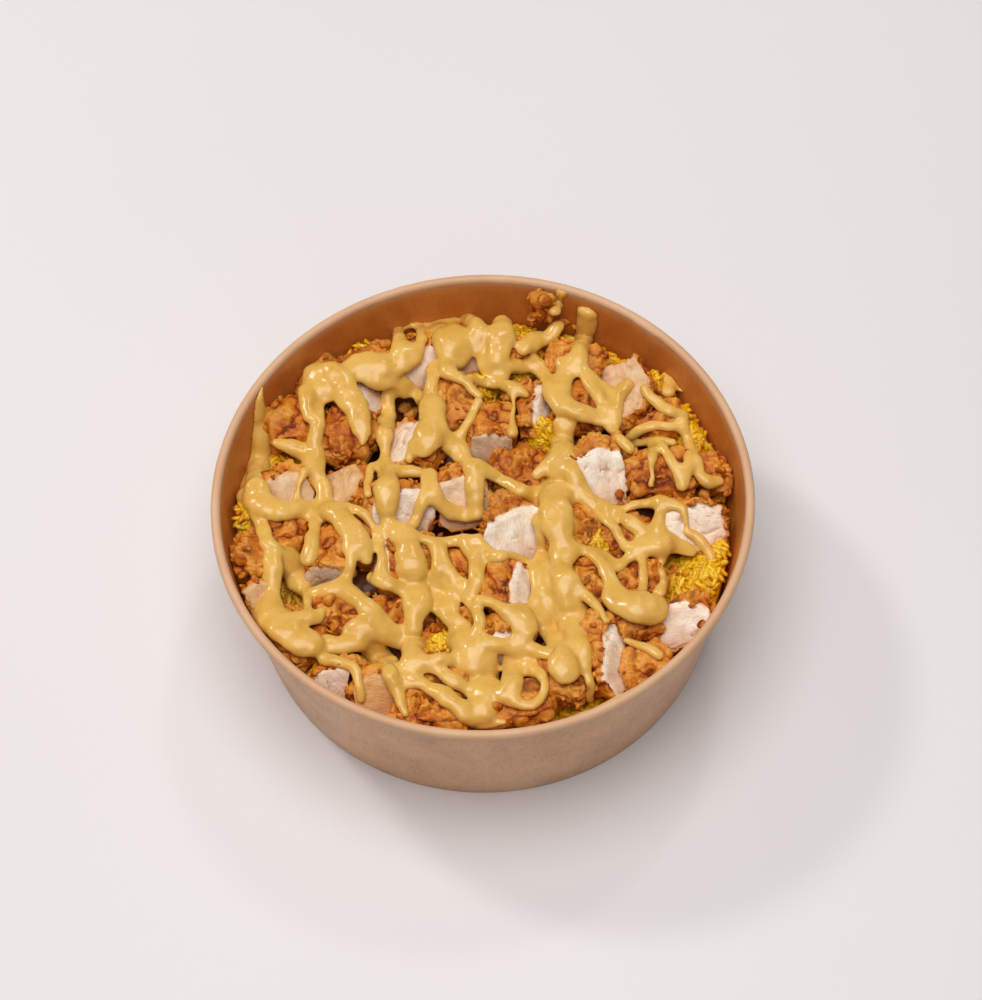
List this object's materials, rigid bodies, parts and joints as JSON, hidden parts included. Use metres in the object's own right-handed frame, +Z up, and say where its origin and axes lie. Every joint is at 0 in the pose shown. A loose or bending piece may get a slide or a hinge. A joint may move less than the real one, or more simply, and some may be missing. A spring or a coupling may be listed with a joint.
{
  "type": "rice with chicken strips in a paper bowl",
  "caption": "Open round kraft bowl of yellow rice topped with cut-up fried chicken strips under a net of thick, glossy, pale golden sauce.",
  "frame": {"origin": "middle of the ring the bowl stands on, at the height of the surface under it", "axes": "+Z up along the bowl's axis; -Y towards the side that faces the picture's camera; +X to its right"},
  "size_m": [0.185, 0.185, 0.0659],
  "materials": {
    "kraft_board": "smooth coated kraft board, satin",
    "cooked_rice": "moist yellow grains",
    "fried_chicken": "rough golden brown crust, pale fibrous meat on cut faces",
    "cheese_sauce": "thick glossy sauce"
  },
  "bodies": {
    "root": {"bowl_wall": "kraft_board", "bowl_base": "kraft_board", "chicken_01": "fried_chicken", "chicken_02": "fried_chicken", "chicken_03": "fried_chicken", "chicken_04": "fried_chicken", "chicken_05": "fried_chicken", "chicken_06": "fried_chicken", "chicken_07": "fried_chicken", "chicken_08": "fried_chicken", "chicken_09": "fried_chicken", "chicken_10": "fried_chicken", "chicken_11": "fried_chicken", "chicken_12": "fried_chicken", "chicken_13": "fried_chicken", "chicken_14": "fried_chicken", "chicken_15": "fried_chicken", "chicken_16": "fried_chicken", "chicken_17": "fried_chicken", "chicken_18": "fried_chicken", "chicken_19": "fried_chicken", "chicken_20": "fried_chicken", "chicken_21": "fried_chicken", "chicken_22": "fried_chicken", "chicken_23": "fried_chicken", "chicken_24": "fried_chicken", "chicken_25": "fried_chicken", "chicken_26": "fried_chicken", "chicken_27": "fried_chicken", "chicken_28": "fried_chicken", "chicken_29": "fried_chicken", "chicken_30": "fried_chicken", "chicken_31": "fried_chicken", "chicken_32": "fried_chicken", "chicken_33": "fried_chicken", "chicken_34": "fried_chicken", "chicken_35": "fried_chicken", "chicken_36": "fried_chicken", "chicken_37": "fried_chicken", "chicken_38": "fried_chicken", "chicken_39": "fried_chicken", "chicken_40": "fried_chicken", "chicken_41": "fried_chicken", "chicken_42": "fried_chicken", "chicken_43": "fried_chicken", "chicken_44": "fried_chicken", "chicken_45": "fried_chicken", "chicken_46": "fried_chicken", "chicken_47": "fried_chicken", "chicken_48": "fried_chicken", "chicken_49": "fried_chicken", "chicken_50": "fried_chicken", "chicken_51": "fried_chicken", "chicken_52": "fried_chicken", "chicken_53": "fried_chicken", "chicken_54": "fried_chicken", "chicken_55": "fried_chicken", "chicken_56": "fried_chicken", "chicken_57": "fried_chicken", "rice": "cooked_rice"}
  },
  "joints": []
}
